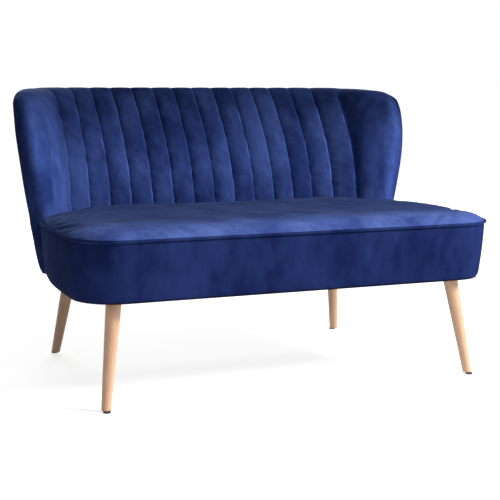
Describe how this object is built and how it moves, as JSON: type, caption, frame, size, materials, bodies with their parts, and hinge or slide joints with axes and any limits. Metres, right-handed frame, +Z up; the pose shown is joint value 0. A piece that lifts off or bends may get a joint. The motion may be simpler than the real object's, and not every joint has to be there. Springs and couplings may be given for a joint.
{
  "type": "sofa",
  "caption": "Two-seat sofa with a vertically channelled back, curved wings, piped seat and splayed tapered wooden legs.",
  "frame": {"origin": "on the floor, under the middle of the whole sofa", "axes": "+X to the right hand of someone looking at the front, along the length of the sofa; +Y towards the back; +Z up"},
  "size_m": [1.206, 0.8, 0.764],
  "materials": {
    "velvet": "royal blue velvet with a mottled nap",
    "leg_beech": "satin natural beech",
    "glide_plastic": "matte black",
    "frame_wood": "raw sawn timber and plywood",
    "zinc_steel": "zinc plated",
    "spring_steel": "dark drawn wire",
    "foam": "open-cell upholstery foam",
    "wadding": "polyester wadding",
    "felt": "needled felt",
    "webbing": "woven elastic webbing",
    "dust_cloth": "thin black non-woven cloth"
  },
  "bodies": {
    "root": {"back_bolt_washers": "zinc_steel", "back_bolts": "zinc_steel", "back_bottom_rail": "frame_wood", "back_channel_pads": "foam", "back_core_foam": "foam", "back_inner_post_left": "frame_wood", "back_inner_post_right": "frame_wood", "back_outer_post_left": "frame_wood", "back_outer_post_right": "frame_wood", "back_tee_nuts": "zinc_steel", "back_top_rail": "frame_wood", "back_webbing": "webbing", "crest_padding": "wadding", "dust_cover": "dust_cloth", "foot_pad_nails": "zinc_steel", "foot_pads": "glide_plastic", "inner_back_cover": "velvet", "leg_block_front_left": "frame_wood", "leg_block_front_right": "frame_wood", "leg_block_rear_left": "frame_wood", "leg_block_rear_right": "frame_wood", "leg_front_left": "leg_beech", "leg_front_right": "leg_beech", "leg_hanger_bolts": "zinc_steel", "leg_rear_left": "leg_beech", "leg_rear_right": "leg_beech", "leg_tee_nuts": "zinc_steel", "outer_back_cover": "velvet", "outer_wadding": "wadding", "seat_border_cover": "velvet", "seat_border_padding": "wadding", "seat_corner_former_left": "frame_wood", "seat_corner_former_right": "frame_wood", "seat_cover": "velvet", "seat_foam": "foam", "seat_front_rail": "frame_wood", "seat_piping": "velvet", "seat_rear_rail": "frame_wood", "seat_side_rail_left": "frame_wood", "seat_side_rail_right": "frame_wood", "seat_stretcher": "frame_wood", "spring_clips": "zinc_steel", "spring_felt": "felt", "wing_pad_left": "foam", "wing_pad_right": "foam", "wing_post_left": "frame_wood", "wing_post_right": "frame_wood", "zigzag_springs": "spring_steel"}
  },
  "joints": []
}
